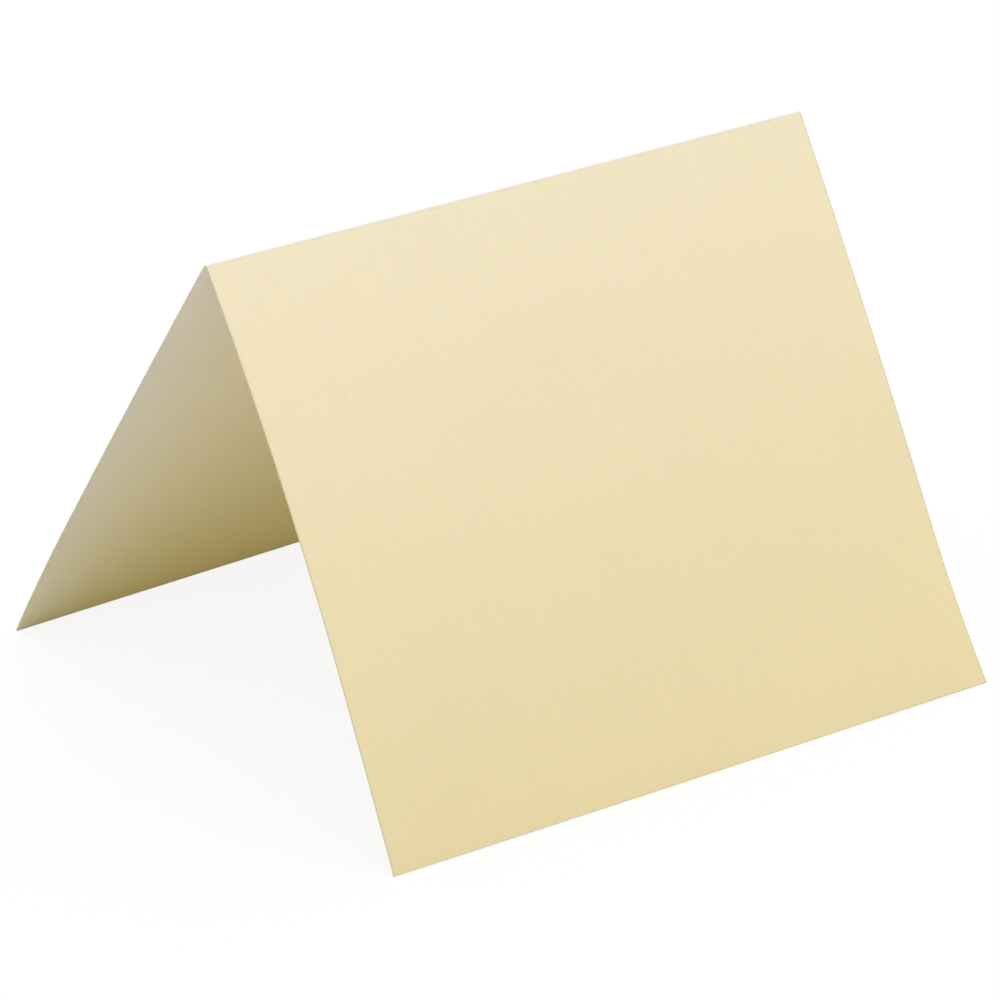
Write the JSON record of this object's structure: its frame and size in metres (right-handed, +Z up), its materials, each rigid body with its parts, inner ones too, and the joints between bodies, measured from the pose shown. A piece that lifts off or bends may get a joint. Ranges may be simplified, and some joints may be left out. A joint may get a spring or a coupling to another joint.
{
  "type": "note card",
  "caption": "Blank folded note card of plain cream card stock, standing like a tent on its two cut edges with the fold on top.",
  "frame": {"origin": "on the table, under the middle of the fold, which is also the middle of the card's footprint", "axes": "+X along the fold, -Y out of the front panel, +Z up"},
  "size_m": [0.1396, 0.1255, 0.0979],
  "materials": {
    "card_stock": "smooth, uncoated, matt cream"
  },
  "bodies": {
    "root": {"card": "card_stock"}
  },
  "joints": []
}
